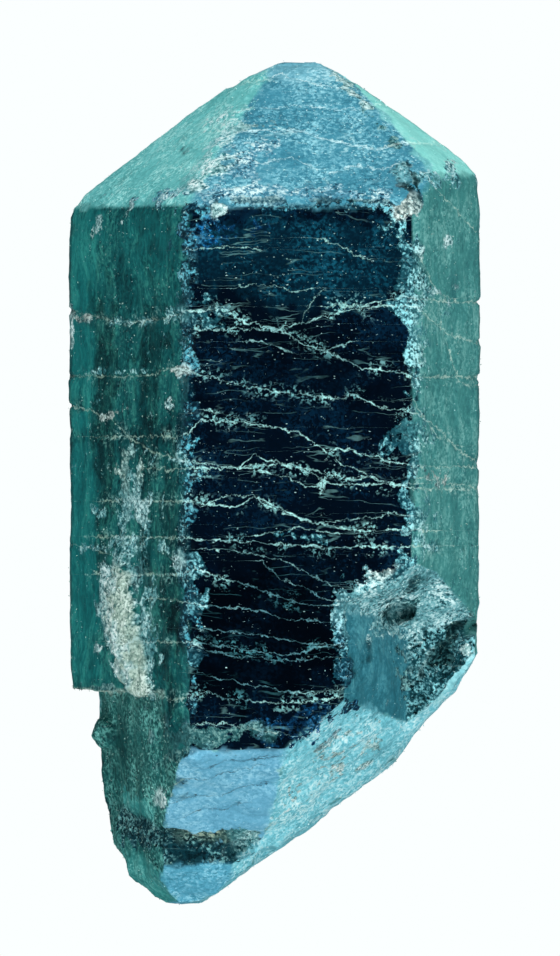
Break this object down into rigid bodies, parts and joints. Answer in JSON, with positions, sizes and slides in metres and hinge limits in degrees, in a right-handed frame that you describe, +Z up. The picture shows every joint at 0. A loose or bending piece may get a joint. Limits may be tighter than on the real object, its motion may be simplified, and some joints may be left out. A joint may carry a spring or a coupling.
{
  "type": "apatite crystal",
  "caption": "Stout six-sided mineral crystal lying on one side face, pointed at one end and broken off in steps at the other.",
  "frame": {"origin": "centre of the crystal's footprint box, on the plane that it rests on", "axes": "+Y along the crystal's long axis towards its pointed end, +Z up out of the front side face, +X to the right of it"},
  "size_m": [0.0288, 0.0594, 0.0205],
  "materials": {
    "crystal": "vitreous blue-green mineral, dark and glossy on the grown faces, frosted and paler on the point and the broken end"
  },
  "bodies": {
    "root": {"crystal": "crystal"}
  },
  "joints": []
}
